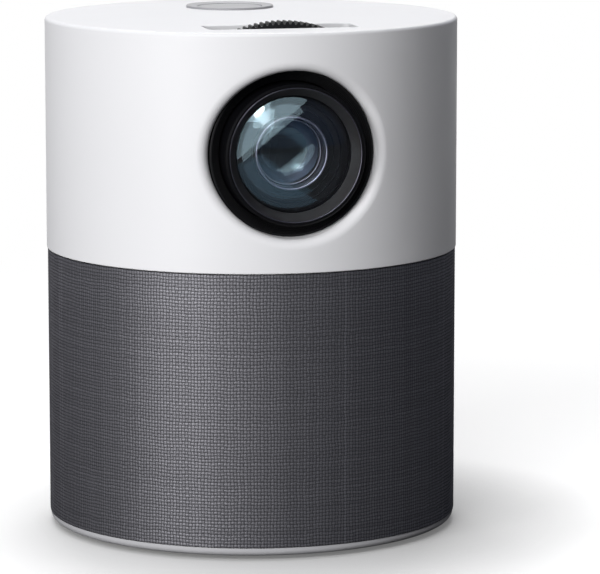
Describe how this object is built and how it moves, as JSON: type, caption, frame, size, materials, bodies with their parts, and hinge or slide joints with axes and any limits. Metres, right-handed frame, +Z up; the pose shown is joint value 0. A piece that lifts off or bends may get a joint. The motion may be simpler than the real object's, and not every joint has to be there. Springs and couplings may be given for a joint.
{
  "type": "video projector",
  "caption": "Drum-shaped video projector with a white upper shell, a front lens focused by a toothed ring in the top, and a cloth-covered speaker section below.",
  "frame": {"origin": "centre of the underside of the feet, on the drum axis", "axes": "+Z up, -Y the way the lens looks, +X to the right as seen from in front of the lens"},
  "size_m": [0.14, 0.14, 0.1761],
  "materials": {
    "white_shell": "satin white plastic",
    "grey_trim": "satin grey plastic",
    "black_plastic": "matte black plastic",
    "dark_plastic": "matte dark grey plastic",
    "barrel_black": "black anodised",
    "speaker_cloth": "woven speaker cloth",
    "rubber": "matte",
    "brass": "machined",
    "steel": "zinc plated",
    "magnet": "coated ferrite",
    "glass": "coated optical glass",
    "panel": "liquid crystal panel",
    "mirror": "front-silvered",
    "aluminium": "extruded",
    "emitter": "phosphor",
    "board": "circuit board",
    "ribbon": "flexible film"
  },
  "bodies": {
    "drum": {"upper_shell": "white_shell", "base_tray": "white_shell", "led_board": "white_shell", "control_ring": "grey_trim", "lens_bezel": "black_plastic", "focus_retainer": "black_plastic", "panel_frame": "black_plastic", "fan_frame": "black_plastic", "tact_switch": "black_plastic", "audio_jack": "black_plastic", "power_inlet": "black_plastic", "port_tray": "dark_plastic", "grille_frame": "dark_plastic", "mid_chassis": "dark_plastic", "button_guide": "dark_plastic", "lens_mount": "dark_plastic", "mirror_hood": "dark_plastic", "lamp_house": "dark_plastic", "cloth_sleeve": "speaker_cloth", "rubber_feet": "rubber", "speaker_surround": "rubber", "tripod_insert": "brass", "base_screws": "steel", "shell_screws": "steel", "key_screws": "steel", "mount_screws": "steel", "hood_screws": "steel", "tower_screws": "steel", "speaker_screws": "steel", "video_socket": "steel", "data_socket": "steel", "speaker_basket": "steel", "processor": "steel", "speaker_magnet": "magnet", "condenser_lens": "glass", "field_lens": "glass", "collimator_lens": "glass", "lcd_panel": "panel", "ir_receiver": "panel", "fold_mirror": "mirror", "heat_sink": "aluminium", "led_emitter": "emitter", "key_board": "board", "main_board": "board", "driver_board": "board", "lcd_ribbon": "ribbon"},
    "focus_ring": {"focus_ring": "black_plastic"},
    "barrel": {"lens_barrel": "barrel_black", "front_lens": "glass", "front_ring": "barrel_black", "middle_lens": "glass", "stop_ring": "black_plastic", "rear_lens": "glass", "rear_ring": "black_plastic", "focus_pins": "steel"},
    "button": {"power_button": "grey_trim"},
    "rotor": {"fan_rotor": "black_plastic"},
    "cone": {"speaker_cone": "black_plastic"}
  },
  "joints": [
    {"name": "focus_turn", "type": "hinge", "parent": "drum", "child": "focus_ring", "pos_m": [0, -0.04806, 0.134], "axis": [0, -1, 0], "range_deg": [-45, 45]},
    {"name": "barrel_slide", "type": "slide", "parent": "drum", "child": "barrel", "axis": [0, -1, 0], "range_m": [-0.002, 0.002]},
    {"name": "button_press", "type": "slide", "parent": "drum", "child": "button", "axis": [0, 0, -1], "range_m": [0, 0.0005], "stiffness_N_per_m": 300, "springref_m": -0.001},
    {"name": "fan_spin", "type": "hinge", "parent": "drum", "child": "rotor", "pos_m": [0, 0.009, 0.02], "axis": [0, 0, 1], "continuous": true},
    {"name": "cone_move", "type": "slide", "parent": "drum", "child": "cone", "axis": [0, -1, 0], "range_m": [-0.001, 0.001], "stiffness_N_per_m": 600}
  ],
  "couplings": [
    {"joint": "barrel_slide", "follows": "focus_turn", "m_per_rad": 0.002546}
  ]
}
